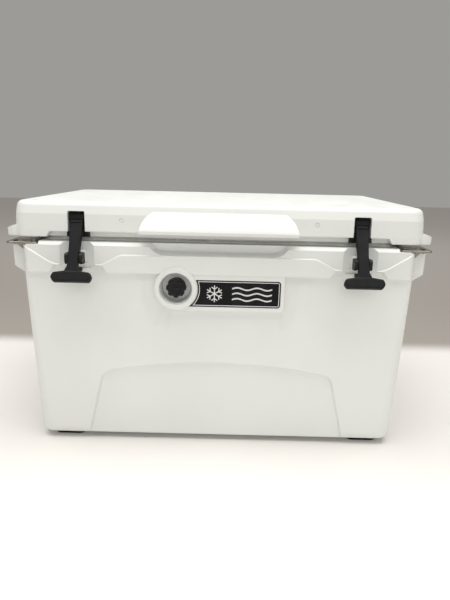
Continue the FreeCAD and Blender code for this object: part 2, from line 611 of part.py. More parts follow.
# ---- lid -----------------------------------------------------------------------------------
def lid_outer():
    """Outside of the lid: crown, corner pads, side lips, plug and the front grip lip."""
    crown = tapered([
        (-LID_HALF_X, LID_HALF_X, LID_FRONT, LID_BACK, LID_CORNER_R, LID_BOTTOM),
        (-LID_BEND_HALF_X, LID_BEND_HALF_X, LID_BEND_FRONT, LID_BACK - 1.2, LID_CORNER_R, LID_BEND_Z),
        (-LID_TOP_HALF_X, LID_TOP_HALF_X, LID_TOP_FRONT, LID_TOP_BACK, LID_CORNER_R, LID_TOP),
    ])
    top = [e for e in crown.Edges if near(e, z=(LID_TOP - 0.1, LID_TOP + 0.1))]
    crown = rounded(crown, LID_EDGE_R, top, "lid top edge")
    pads = block(-LID_HALF_X, LID_HALF_X, LID_FRONT, LID_BACK, LID_PAD_BOTTOM, LID_BOTTOM + 3, LID_CORNER_R)
    bottom = [e for e in pads.Edges if near(e, z=(LID_PAD_BOTTOM - 0.1, LID_PAD_BOTTOM + 0.1))]
    pads = rounded(pads, 2.0, bottom, "lid pad edge")
    lip = [(-LIP_HALF_X - 7.5, LID_PAD_BOTTOM - 3), (LIP_HALF_X + 7.5, LID_PAD_BOTTOM - 3), (LIP_HALF_X, LID_BOTTOM),
           (-LIP_HALF_X, LID_BOTTOM)]
    lid = crown.fuse(pads.cut(front_prism(lip, -20, SKIRT_DEPTH)))
    for side in (-1, 1):
        lid = lid.fuse(lid_flange(side))
    plug = tapered([
        (-271, 271, 56, 356, 28, PLUG_Z),
        (-272.5, 272.5, 54.5, 357.5, 28, LID_PAD_BOTTOM + 4),
    ])
    plug = rounded(plug, 6.0, [e for e in plug.Edges if near(e, z=(PLUG_Z - 0.1, PLUG_Z + 0.1))], "lid plug edge")
    return lid.fuse(plug).fuse(handle_bulge()).removeSplitter()


def lid_flange(side):
    """Side lip of the lid, level along the whole side, with a sloping top."""
    def at(x, z):
        return V(side * x, back(13), z)

    ring = [at(325, LID_PAD_BOTTOM), at(FLANGE_HALF_X - 3, LID_PAD_BOTTOM), at(FLANGE_HALF_X, LID_PAD_BOTTOM + 3),
            at(FLANGE_HALF_X, FLANGE_TOP - 4.5), at(FLANGE_HALF_X - 7, FLANGE_TOP - 1), at(LID_HALF_X - 2, FLANGE_TOP + 2),
            at(325, FLANGE_TOP + 2)]
    lip = Part.Face(Part.makePolygon(ring + ring[:1])).extrude(V(0, 387, 0))
    edge = FLANGE_HALF_X + 1
    plan = [(300, 13), (edge - 13, 13), (edge - 5, 16.5), (edge, 25), (edge, 388), (edge - 5, 396.5), (edge - 13, 400),
            (300, 400)]
    return lip.common(plan_prism([(side * x, d) for x, d in plan], LID_PAD_BOTTOM - 5, FLANGE_TOP + 15))


def handle_bulge():
    """Front grip lip in the middle of the lid."""
    lip = side_prism([(36, 425.6), (13, 425.6), (-9.5, 397.5), (-12, 393), (-12, 389.5), (-10.5, LID_BOTTOM + 0.1),
                      (36, LID_BOTTOM + 0.1)], -140, 140)
    y, low, top = back(-30), LID_BOTTOM - 2, 425.6
    half, r = GRIP_LIP_HALF, GRIP_LIP_R
    q = r * (1 - math.sqrt(0.5))
    edges = [
        Part.makeLine(V(-half, y, low), V(half, y, low)),
        Part.makeLine(V(half, y, low), V(half, y, top - r)),
        Part.Arc(V(half, y, top - r), V(half - q, y, top - q), V(half - r, y, top)).toShape(),
        Part.makeLine(V(half - r, y, top), V(r - half, y, top)),
        Part.Arc(V(r - half, y, top), V(q - half, y, top - q), V(-half, y, top - r)).toShape(),
        Part.makeLine(V(-half, y, top - r), V(-half, y, low)),
    ]
    return solid_of(lip.common(Part.Face(Part.Wire(edges)).extrude(V(0, 75, 0))))


def foam_of_lid():
    upper = block(-330, 330, POCKET_DEPTH + 6, 393, 388, 427, 14)
    lower = block(-264, 264, 63, 349, PLUG_Z + SKIN + 1, 392, 22)
    return solid_of(upper.fuse(lower).removeSplitter())


def lid_shell():
    lid = lid_outer()
    for side in (-1, 1):
        lid = lid.cut(latch_pocket(side))
        lid = lid.cut(rod(3.6, 12, V(side * 162, back(-2), 407), Y_AXIS))
        lid = lid.cut(rod(4.6, 3.0, V(side * 311, back(32), LID_TOP - 3), Z_AXIS))
    grip = block(-112, 112, -6.5, 15, 380, 402, 6.0)
    grip = rounded(grip, 4.0, [e for e in grip.Edges if near(e, z=(401.9, 402.1))], "grip hollow")
    lid = solid_of(lid.cut(grip))
    mouth = [e for e in lid.Edges if near(e, z=(LID_BOTTOM - 0.3, LID_BOTTOM + 0.3), y=(back(5), back(9)))
             and e.Length > 60]
    lid = rounded(lid, 2.4, mouth, "lid lower edge")
    return solid_of(lid.cut(foam_of_lid()))


def latch_pocket(side):
    """Slot in the lid's front for a latch bracket; the lid's underside stays whole."""
    x = side * LATCH_X
    slot = block(x - POCKET_HALF, x + POCKET_HALF, -30, POCKET_DEPTH, LID_PAD_BOTTOM - 5, POCKET_TOP)
    slot = slot.cut(block(x - 30, x + 30, SKIRT_DEPTH, POCKET_DEPTH + 8, LID_PAD_BOTTOM - 8, LID_BOTTOM))
    roof = [e for e in slot.Edges if e.BoundBox.YLength > 50 and e.CenterOfMass.z > POCKET_TOP - 1]
    return rounded(slot, 2.5, roof, "latch pocket")


def lid_gasket():
    """Rubber seal: a bead on the rim and a narrower neck fixed under the lid."""
    front, behind, half = GASKET_FRONT, GASKET_BACK, GASKET_HALF_X
    w = GASKET_WIDTH
    bead = block(-half, half, front, behind, RIM_TOP + 0.2, GASKET_TOP, 14)
    bead = bead.cut(block(-half + w, half - w, front + w, behind - w, RIM_TOP - 1, GASKET_TOP + 1, 8))
    bead = rounded(bead, 1.2, [e for e in bead.Edges if near(e, z=(GASKET_TOP - 0.1, GASKET_TOP + 0.1))], "gasket")
    neck = block(-half + 3, half - 3, front + 3, behind - 3, GASKET_TOP - 2, LID_PAD_BOTTOM, 12)
    neck = neck.cut(block(-half + 7, half - 7, front + 7, behind - 7, RIM_TOP, LID_PAD_BOTTOM + 1, 9))
    return solid_of(bead.fuse(neck).removeSplitter())


def lid_plug_front(side):
    return rod(3.5, 1.6, V(side * 162, back(8.4), 407), Y_AXIS)


def lid_plug_top(side):
    cap = rod(4.5, 2.4, V(side * 311, back(32), LID_TOP - 3.0), Z_AXIS)
    return rounded(cap, 0.8, [e for e in cap.Edges if near(e, z=(LID_TOP - 0.7, LID_TOP))], "top plug")


# ---- latches -------------------------------------------------------------------------------
def lid_latch_base(side):
    """Bracket in the lid's front pocket: back plate, two lugs and a foot flange."""
    x = side * LATCH_X
    plate_front = POCKET_DEPTH - 2.7
    bracket = block(x - 14, x + 14, plate_front, POCKET_DEPTH, LID_BOTTOM + 0.1, POCKET_TOP - 2.6)
    for dx in (-12.65, 12.65):
        lug = block(x + dx - 0.98, x + dx + 0.98, PIN_DEPTH - 6.5, POCKET_DEPTH - 1, PIN_Z - 7, PIN_Z + 7)
        front = [e for e in lug.Edges if e.BoundBox.XLength > 1.9 and e.CenterOfMass.y < back(PIN_DEPTH - 6)]
        bracket = bracket.fuse(rounded(lug, 6.0, front, "lug"))
    neck = block(x - 12, x + 12, 14.6, POCKET_DEPTH - 1, LID_BOTTOM + 0.1, LID_BOTTOM + 3.2)
    stem = block(x - 12, x + 12, 14.6, SKIRT_DEPTH - 0.1, LID_BOTTOM - 2, LID_BOTTOM + 2)
    flange = block(x - 19, x + 19, 14.2, SKIRT_DEPTH - 0.1, LID_PAD_BOTTOM - 0.3, LID_BOTTOM - 0.3)
    front = [e for e in flange.Edges if e.CenterOfMass.y < back(15)]
    bracket = bracket.fuse(neck).fuse(stem).fuse(rounded(flange, 2.5, front, "foot flange"))
    bracket = bracket.cut(rod(PIN_R, 60, V(x - 30, back(PIN_DEPTH), PIN_Z), X_AXIS))
    for place in bracket_screw_places(side):
        bracket = seat(bracket, place, -Y_AXIS, BRACKET_SHANK, BRACKET_SCREW)
    return solid_of(bracket.removeSplitter())


def bracket_screw_places(side):
    return [V(side * LATCH_X + dx, back(POCKET_DEPTH - 2.7), 396.0) for dx in (-6.5, 6.5)]


def lid_latch_pin(side):
    pin = rod(PIN_R - 0.02, 27.2, V(side * LATCH_X - 13.6, back(PIN_DEPTH), PIN_Z), X_AXIS)
    return rounded(pin, 0.6, [e for e in pin.Edges if abs(e.BoundBox.XLength) < 0.01], "latch pin")


def latch_strap(side):
    """Rubber strap: barrel round the pin, tapering strap, flared neck and T-shaped grip."""
    x = side * LATCH_X
    d0, z0 = PIN_DEPTH, PIN_Z
    bar_z = z0 - STRAP_LENGTH
    half = [(11.3, z0), (11.2, z0 - 13), (10.2, z0 - 24), (8.75, z0 - 56), (8.75, z0 - 88), (13.5, z0 - 97.5),
            (13.5, bar_z)]
    ring = [(x + a, z) for a, z in half] + [(x - a, z) for a, z in half[::-1]]
    strap = front_prism(ring, d0 - STRAP_FRONT, d0 + STRAP_BACK)
    sides = [e for e in strap.Edges if e.BoundBox.YLength < 0.1 and e.BoundBox.ZLength > 8
             and e.CenterOfMass.y < back(d0)]
    strap = strap.makeChamfer(1.2, sides)
    barrel = rod(BARREL_R, 2 * BARREL_HALF, V(x - BARREL_HALF, back(d0), z0), X_AXIS)
    barrel = rounded(barrel, 1.0, [e for e in barrel.Edges if e.BoundBox.XLength < 0.01], "barrel")
    rib = block(x - BARREL_HALF + 2, x + BARREL_HALF - 2, d0 - STRAP_FRONT - 1.3, d0, z0 - 11.5, z0 - 8.0)
    strap = strap.fuse(barrel).fuse(rib).fuse(grip_bar(x, bar_z))
    strap.rotate(V(x, back(d0), z0), X_AXIS, -STRAP_LEAN)
    middle = d0 - (z0 - HOOK_Z1) * math.tan(math.radians(STRAP_LEAN))
    hook = block(x - HOOK_HALF, x + HOOK_HALF, middle, HOOK_REAR, HOOK_Z0, HOOK_Z1)
    tip = [e for e in hook.Edges if e.CenterOfMass.y > back(HOOK_REAR - 0.5) and e.BoundBox.XLength > 5]
    strap = strap.fuse(rounded(hook, 2.4, tip, "hook")).removeSplitter()
    return solid_of(strap.cut(rod(PIN_R + RUNNING, 60, V(x - 30, back(d0), z0), X_AXIS)))


def grip_bar(x, z):
    """T-bar of the strap before the strap is leaned forward."""
    a, h = BAR_HALF_X, BAR_HALF_Z
    right = [(x + 12, z + h + 1.2), (x + a - 3.5, z + h - 1.6), (x + a, z - 1.0), (x + a - 4.5, z - h)]
    left = [(2 * x - u, w) for u, w in right[::-1]]
    bar = front_prism(right + left, PIN_DEPTH - BAR_HALF_Y - 0.6, PIN_DEPTH + BAR_HALF_Y - 0.6)
    for r, lo, hi in ((4.0, a - 5.0, a - 3.0), (7.0, a - 0.5, a + 0.5)):
        ends = [e for e in bar.Edges if abs(e.BoundBox.YLength - 2 * BAR_HALF_Y) < 0.1
                and lo < abs(e.CenterOfMass.x - x) < hi]
        bar = rounded(bar, r, ends, "grip bar end")
    return rounded(bar, 3.0, [e for e in bar.Edges if e.BoundBox.YLength < 0.1], "grip bar")


def latch_keeper(side):
    """Keeper on the moulded seat: a plate with two prongs that the strap passes between."""
    x = side * LATCH_X
    keeper = block(x - KEEPER_HALF, x + KEEPER_HALF, KEEPER_FACE, BOSS_FRONT, KEEPER_Z0, KEEPER_Z1)
    middle = KEEPER_HALF - PRONG_WIDTH / 2
    for dx in (-middle, middle):
        x0 = x + dx - PRONG_WIDTH / 2
        prong = block(x0, x0 + PRONG_WIDTH, KEEPER_NOSE, KEEPER_FACE + 2, KEEPER_Z0, KEEPER_Z1)
        nose = [e for e in prong.Edges if abs(e.BoundBox.XLength - PRONG_WIDTH) < 0.1
                and e.CenterOfMass.y < back(KEEPER_NOSE + 1)]
        keeper = keeper.fuse(rounded(prong, 5.0, nose, "prong nose"))
    keeper = keeper.removeSplitter()
    for place in keeper_screw_places(side):
        keeper = seat(keeper, place, -Y_AXIS, 2.0, KEEPER_SCREW)
    return solid_of(keeper)


def keeper_screw_places(side):
    return [V(side * LATCH_X, back(KEEPER_FACE), z) for z in (341.5, 350.5)]


def bracket_screws(side):
    made = [screw(p, -Y_AXIS, 3.0, 1.2, BRACKET_SHANK, BRACKET_SCREW) for p in bracket_screw_places(side)]
    return Part.makeCompound(made)


def keeper_screws(side):
    made = [screw(p, -Y_AXIS, 3.4, 1.3, 2.0, KEEPER_SCREW) for p in keeper_screw_places(side)]
    return Part.makeCompound(made)


# ---- hinges --------------------------------------------------------------------------------
def knuckle(x0, x1, bore):
    barrel = rod(KNUCKLE_R, x1 - x0, V(x0, back(HINGE_DEPTH), HINGE_Z), X_AXIS)
    return barrel.cut(rod(bore, x1 - x0 + 2, V(x0 - 1, back(HINGE_DEPTH), HINGE_Z), X_AXIS))


def hinge_body_leaf(side):
    """Leaf on the chest's rear face, carrying the outer and middle knuckles."""
    x = side * HINGE_X
    leaf = block(x - LEAF_HALF, x + LEAF_HALF, BAND_DEPTH, BAND_DEPTH + LEAF_THICK, 336, 372.8)
    leaf = rounded(leaf, 5.0, [e for e in leaf.Edges if e.BoundBox.YLength > 2 and e.CenterOfMass.z < 337], "leaf corner")
    for x0, x1 in KNUCKLES[::2]:
        web = block(x + x0, x + x1, BAND_DEPTH, BAND_DEPTH + LEAF_THICK, 370, HINGE_Z)
        leaf = leaf.fuse(web.cut(rod(5.0, 200, V(x - 100, back(HINGE_DEPTH), HINGE_Z), X_AXIS)))
        leaf = leaf.fuse(knuckle(x + x0, x + x1, PIN_R))
    for place in hinge_body_screw_places(side):
        leaf = seat(leaf, place, Y_AXIS)
    return solid_of(leaf.removeSplitter())


def hinge_lid_leaf(side):
    """Leaf on the lid's rear face, carrying the other two knuckles."""
    x = side * HINGE_X
    leaf = block(x - LEAF_HALF, x + LEAF_HALF, LID_BACK, LID_BACK + LEAF_THICK, 387.2, 424)
    leaf = rounded(leaf, 5.0, [e for e in leaf.Edges if e.BoundBox.YLength > 2 and e.CenterOfMass.z > 423], "leaf corner")
    for x0, x1 in KNUCKLES[1::2]:
        web = block(x + x0, x + x1, LID_BACK, LID_BACK + LEAF_THICK, HINGE_Z + 1, 389)
        leaf = leaf.fuse(web.cut(rod(5.0, 200, V(x - 100, back(HINGE_DEPTH), HINGE_Z), X_AXIS)))
        leaf = leaf.fuse(knuckle(x + x0, x + x1, PIN_R + RUNNING))
    for place in hinge_lid_screw_places(side):
        leaf = seat(leaf, place, Y_AXIS)
    return solid_of(leaf.removeSplitter())


def hinge_body_screw_places(side):
    x = side * HINGE_X
    return [V(x + dx, back(BAND_DEPTH + LEAF_THICK), z) for dx, z in ((-33, 352), (0, 346), (33, 352))]


def hinge_lid_screw_places(side):
    x = side * HINGE_X
    return [V(x + dx, back(LID_BACK + LEAF_THICK), z) for dx, z in ((-33, 405), (0, 413), (33, 405))]


def hinge_pin(side):
    x = side * HINGE_X
    pin = rod(PIN_R - 0.02, 94, V(x - 47, back(HINGE_DEPTH), HINGE_Z), X_AXIS)
    for sign in (-1, 1):
        pin = pin.fuse(rod(3.9, 1.6, V(x + sign * 46.1, back(HINGE_DEPTH), HINGE_Z), X_AXIS * sign))
    return solid_of(pin.removeSplitter())


# ---- vent ----------------------------------------------------------------------------------
KNOB_FACE, KNOB_LENGTH = 4.0, 13.5


def vent_bushing():
    """Threaded bushing through the wall, with a flange in the round pocket."""
    flange = rod(15.5, 3.0, V(VENT_X, back(VENT_FLOOR - 3), VENT_Z), Y_AXIS)
    flange = rounded(flange, 1.2, [e for e in flange.Edges if e.BoundBox.YMax < back(VENT_FLOOR - 2.9)], "bushing")
    tube = rod(8.8, CAVITY_FRONT - VENT_FLOOR + 8, V(VENT_X, back(VENT_FLOOR), VENT_Z), Y_AXIS)
    bore = rod(5.0, 90, V(VENT_X, back(0), VENT_Z), Y_AXIS)
    return solid_of(flange.fuse(tube).cut(bore).removeSplitter())


def vent_nut():
    nut = hexagon(15.0, 5.0, V(VENT_X, back(CAVITY_FRONT + 1.9), VENT_Z))
    return nut.cut(rod(8.8, 30, V(VENT_X, back(CAVITY_FRONT - 5), VENT_Z), Y_AXIS))


def hexagon(r, thickness, base):
    ring = [V(base.x + r * math.cos(math.radians(60 * k)), base.y, base.z + r * math.sin(math.radians(60 * k)))
            for k in range(6)]
    return Part.Face(Part.makePolygon(ring + ring[:1])).extrude(V(0, thickness, 0))


def vent_knob():
    """Eight-lobed cap on a turning stem."""
    face = back(KNOB_FACE)
    cap = rod(16.9, KNOB_LENGTH, V(VENT_X, face, VENT_Z), Y_AXIS)
    for k in range(8):
        a = math.radians(45 * k + 22.5)
        flute = rod(4.4, 20, V(VENT_X + 19.0 * math.cos(a), face - 2, VENT_Z + 19.0 * math.sin(a)), Y_AXIS)
        cap = cap.cut(flute)
    cap = rounded(cap, 1.8, [e for e in cap.Edges if near(e, y=(face - 0.1, face + 0.1))], "knob")
    dish = rod(8.5, 1.2, V(VENT_X, face - 0.2, VENT_Z), Y_AXIS)
    stem = rod(5.0 - RUNNING, 34, V(VENT_X, face + KNOB_LENGTH - 0.5, VENT_Z), Y_AXIS)
    vane = block(VENT_X - 6, VENT_X + 6, KNOB_FACE - 0.6, KNOB_FACE + 1.5, VENT_Z - 1.6, VENT_Z + 1.6)
    return solid_of(cap.cut(dish).fuse(stem).fuse(vane).removeSplitter())


def vent_seal():
    ring = rod(9.0, 2.2, V(VENT_X, back(KNOB_FACE + KNOB_LENGTH + 0.1), VENT_Z), Y_AXIS)
    return ring.cut(rod(5.6, 40, V(VENT_X, back(0), VENT_Z), Y_AXIS))


# ---- drain ---------------------------------------------------------------------------------
def drain_rod(r, x0, x1):
    return rod(r, x1 - x0, V(x0, back(DRAIN_DEPTH), DRAIN_Z), X_AXIS)


def drain_bulkhead():
    """Bulkhead fitting through the right wall at floor level."""
    flange = drain_rod(28.0, DRAIN_SEAT_X, DRAIN_SEAT_X + 4)
    flange = rounded(flange, 1.5, [e for e in flange.Edges if e.BoundBox.XMin > DRAIN_SEAT_X + 3.9], "bulkhead")
    body = flange.fuse(drain_rod(12.8, 255, DRAIN_SEAT_X + 1))
    return solid_of(body.cut(drain_rod(9.0, 250, DRAIN_SEAT_X + 10)).removeSplitter())


def drain_nut():
    nut = drain_rod(16.0, 258.0, 264.1)
    for k in range(12):
        a = math.radians(30 * k)
        y = back(DRAIN_DEPTH) + 16.6 * math.cos(a)
        nut = nut.cut(rod(1.6, 10, V(255, y, DRAIN_Z + 16.6 * math.sin(a)), X_AXIS))
    return solid_of(nut.cut(drain_rod(12.8, 250, 270)))


def drain_plug():
    """Turning plug with a ribbed grip bar and a stem inside the bulkhead."""
    cap = drain_rod(20.0, DRAIN_SEAT_X + 6.4, DRAIN_SEAT_X + 11.5)
    cap = rounded(cap, 1.5, [e for e in cap.Edges if e.BoundBox.XMin > DRAIN_SEAT_X + 11.4], "drain cap")
    grip = Part.makeBox(4.5, 9.0, 34.0, V(DRAIN_SEAT_X + 9.5, back(DRAIN_DEPTH) - 4.5, DRAIN_Z - 17))
    grip = rounded(grip, 1.8, [e for e in grip.Edges if e.CenterOfMass.x > DRAIN_SEAT_X + 12], "drain grip")
    stem = drain_rod(9.0 - RUNNING, DRAIN_SEAT_X - 38, DRAIN_SEAT_X + 7)
    return solid_of(cap.fuse(grip).fuse(stem).removeSplitter())


def drain_seal():
    return drain_rod(14.0, DRAIN_SEAT_X + 4.3, DRAIN_SEAT_X + 6.1).cut(drain_rod(9.8, 250, 330))


# ---- name plate ----------------------------------------------------------------------------
NAME_BACK, NAME_FACE = FRAME_FACE + 2.6, FRAME_FACE + 0.5


def nameplate():
    plate = Part.Face(plate_outline(0.0, NAME_FACE)).extrude(V(0, NAME_BACK - NAME_FACE, 0))
    return plate.makeFillet(0.5, [e for e in plate.Edges if near(e, y=(back(NAME_FACE) - 0.1, back(NAME_FACE) + 0.1))])


def nameplate_trim():
    outer = Part.Face(plate_outline(-1.9, NAME_FACE - 0.35, 5.0)).extrude(V(0, 0.35, 0))
    inner = Part.Face(plate_outline(-3.1, NAME_FACE - 1, 5.0)).extrude(V(0, 3, 0))
    return outer.cut(inner)


def wave(x0, x1, z, height, thick):
    """Wavy bar on the face of the plate."""
    count = 36
    upper, lower = [], []
    for k in range(count + 1):
        x = x0 + (x1 - x0) * k / count
        lift = height * math.sin(4 * math.pi * k / count)
        upper.append((x, z + lift + thick / 2))
        lower.append((x, z + lift - thick / 2))
    return front_prism(upper + lower[::-1], NAME_FACE - 0.4, NAME_FACE)


def nameplate_emblem():
    """Plain snowflake and three wavy bars."""
    cx, cz = -6.0, (PLATE_TOP + PLATE_BOTTOM) / 2
    flake = rod(2.6, 0.4, V(cx, back(NAME_FACE - 0.4), cz), Y_AXIS)
    for k in range(6):
        arm = front_prism([(cx - 0.9, cz), (cx + 0.9, cz), (cx + 0.9, cz + 14.5), (cx - 0.9, cz + 14.5)],
                          NAME_FACE - 0.4, NAME_FACE)
        for lean in (-1, 1):
            twig = front_prism([(cx, cz + 7.2), (cx, cz + 9.2), (cx + lean * 4.6, cz + 12.6), (cx + lean * 5.4, cz + 11.0)],
                               NAME_FACE - 0.4, NAME_FACE)
            arm = arm.fuse(twig)
        arm.rotate(V(cx, 0, cz), Y_AXIS, 60 * k)
        flake = flake.fuse(arm)
    pieces = [flake.removeSplitter()]
    for k in (-1, 0, 1):
        pieces.append(wave(24, 92, cz + 9.5 * k, 2.0, 2.6))
    return Part.makeCompound(pieces)


# ---- lock plates ---------------------------------------------------------------------------
LOCK_SCREW_X, LOCK_SCREW_DEPTHS = 315.0, (24.0, 52.0)


def lock_plate(side):
    """Stainless corner plate with a padlock slot and a folded gusset."""
    top = LOCK_Z + LOCK_THICK
    plate = block(LOCK_X0, LOCK_X1, LOCK_FRONT, LOCK_REAR, LOCK_Z, top, 6.0)
    plate = plate.cut(block(333, 348, 10, 32, LOCK_Z - 1, top + 1, 6.5))
    edges = [e for e in plate.Edges if near(e, z=(top - 0.05, top + 0.05)) and e.Length > 4]
    plate = rounded(plate, 0.8, edges, "lock plate")
    fold = front_prism([(BAND_HALF_X + 0.9, LOCK_Z + 1), (GUSSET_X, LOCK_Z + 1), (BAND_HALF_X + 0.9, GUSSET_Z)], 5, 7.2)
    plate = plate.fuse(fold)
    for d in LOCK_SCREW_DEPTHS:
        plate = seat(plate, V(LOCK_SCREW_X, back(d), top), Z_AXIS, 2.0, LOCK_SCREW)
    plate = solid_of(plate.removeSplitter())
    return plate if side > 0 else mirrored(plate)


def lock_screws(side):
    top = LOCK_Z + LOCK_THICK
    made = [screw(V(side * LOCK_SCREW_X, back(d), top), Z_AXIS, 4.2, 2.2, 2.0, LOCK_SCREW) for d in LOCK_SCREW_DEPTHS]
    return Part.makeCompound(made)


def foot_screws():
    made = []
    for place in foot_places():
        for x in foot_screw_lines(place):
            made.append(screw(V(x, back(place[1]), 3.5), -Z_AXIS, 4.2, 2.2, 2.0, 11))
    return Part.makeCompound(made)


# ---- build ---------------------------------------------------------------------------------
def body_with_seats():
    """The chest's outer moulding with holes for every screw that goes into it."""
    shell = body_shell()
    for side in (-1, 1):
        for place in hinge_body_screw_places(side):
            shell = seat(shell, place, Y_AXIS)
        for place in keeper_screw_places(side):
            shell = seat(shell, place, -Y_AXIS, 2.0, KEEPER_SCREW)
        for d in LOCK_SCREW_DEPTHS:
            shell = seat(shell, V(side * LOCK_SCREW_X, back(d), LOCK_Z + LOCK_THICK), Z_AXIS, 2.0, LOCK_SCREW)
    for place in foot_places():
        for x in foot_screw_lines(place):
            shell = seat(shell, V(x, back(place[1]), 3.5), -Z_AXIS, 2.0, 11)
    return solid_of(shell.cut(drain_rod(13.0, 240, 330)))


def lid_with_seats():
    shell = lid_shell()
    for side in (-1, 1):
        x = side * HINGE_X
        shell = shell.fuse(block(x - 48, x + 48, LID_BACK - 8, LID_BACK, 390, 425.4)).removeSplitter()
        for place in hinge_lid_screw_places(side):
            shell = seat(shell, place, Y_AXIS)
        for place in bracket_screw_places(side):
            shell = seat(shell, place, -Y_AXIS, BRACKET_SHANK, BRACKET_SCREW)
    return solid_of(shell)


def export(name, shape):
    shape.exportStep(os.path.join("parts", name + ".step"))
    box = shape.BoundBox
    spans = "%8.1f %8.1f %8.1f | %8.1f %8.1f %8.1f" % (box.XMin, box.YMin, box.ZMin, box.XMax, box.YMax, box.ZMax)
    print("%-24s %s | solids %d faces %d valid %s" % (name, spans, len(shape.Solids), len(shape.Faces),
                                                    shape.isValid()), flush=True)


def build():
    os.makedirs("parts", exist_ok=True)
    for name, side in (("left", -1), ("right", 1)):
        export("latch_bracket_" + name, lid_latch_base(side))
        export("latch_pin_" + name, lid_latch_pin(side))
        export("latch_strap_" + name, latch_strap(side))
        export("latch_keeper_" + name, latch_keeper(side))
        export("bracket_screws_" + name, bracket_screws(side))
        export("keeper_screws_" + name, keeper_screws(side))
        export("lock_plate_" + name, lock_plate(side))
        export("lock_screws_" + name, lock_screws(side))
        export("hinge_body_leaf_" + name, hinge_body_leaf(side))
        export("hinge_lid_leaf_" + name, hinge_lid_leaf(side))
        export("hinge_pin_" + name, hinge_pin(side))
        body_screws = [screw(p, Y_AXIS, 4.0, 2.0, 2.0, 12) for p in hinge_body_screw_places(side)]
        lid_screws = [screw(p, Y_AXIS, 4.0, 2.0, 2.0, 12) for p in hinge_lid_screw_places(side)]
        export("hinge_body_screws_" + name, Part.makeCompound(body_screws))
        export("hinge_lid_screws_" + name, Part.makeCompound(lid_screws))
        export("lid_plug_front_" + name, lid_plug_front(side))
        export("lid_plug_top_" + name, lid_plug_top(side))
    for name, place in zip(("front_left", "rear_left", "front_right", "rear_right"), foot_places()):
        export("foot_" + name, foot(place))
    export("foot_screws", foot_screws())
    export("vent_bushing", vent_bushing())
    export("vent_nut", vent_nut())
    export("vent_knob", vent_knob())
    export("vent_seal", vent_seal())
    export("drain_bulkhead", drain_bulkhead())
    export("drain_nut", drain_nut())
    export("drain_plug", drain_plug())
    export("drain_seal", drain_seal())
    export("nameplate", nameplate())
    export("nameplate_trim", nameplate_trim())
    export("nameplate_emblem", nameplate_emblem())
    export("lid_gasket", lid_gasket())
    export("lid_foam", foam_of_lid())
    export("lid_shell", lid_with_seats())
    export("body_foam", foam_of_body())
    export("body_liner", body_liner())
    export("body_shell", body_with_seats())


build()
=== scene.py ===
"""Looks of the rotomoulded cooler chest: materials, fine pieces, floor, light and camera.

The CAD nodes carry the shape. Lengths are in metres, unless a name or comment says millimetres.
The frame: +Z up, the front faces -Y, the origin is on the ground under the chest's middle.
"""
import json
import math

import bpy
import bmesh
from mathutils import Matrix, Vector


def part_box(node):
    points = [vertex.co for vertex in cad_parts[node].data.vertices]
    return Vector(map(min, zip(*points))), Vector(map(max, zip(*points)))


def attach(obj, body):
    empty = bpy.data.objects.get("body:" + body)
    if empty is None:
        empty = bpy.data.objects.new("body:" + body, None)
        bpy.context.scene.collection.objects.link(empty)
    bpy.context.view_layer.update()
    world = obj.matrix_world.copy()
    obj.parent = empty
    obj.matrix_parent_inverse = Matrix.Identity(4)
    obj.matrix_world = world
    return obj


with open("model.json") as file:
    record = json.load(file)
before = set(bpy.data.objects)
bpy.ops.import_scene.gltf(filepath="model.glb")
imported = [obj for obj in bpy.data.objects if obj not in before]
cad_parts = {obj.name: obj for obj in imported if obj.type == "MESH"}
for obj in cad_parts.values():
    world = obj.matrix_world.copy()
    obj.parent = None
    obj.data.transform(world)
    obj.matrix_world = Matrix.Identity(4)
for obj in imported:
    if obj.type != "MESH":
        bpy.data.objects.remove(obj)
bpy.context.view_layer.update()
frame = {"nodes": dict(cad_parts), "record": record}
nodes = frame["nodes"]

MM = 0.001


def shade(r, g, b):
    return (r, g, b, 1.0)


def toned(tint, factor):
    """The tint made darker or lighter by a factor."""
    return shade(*(channel * factor for channel in tint))


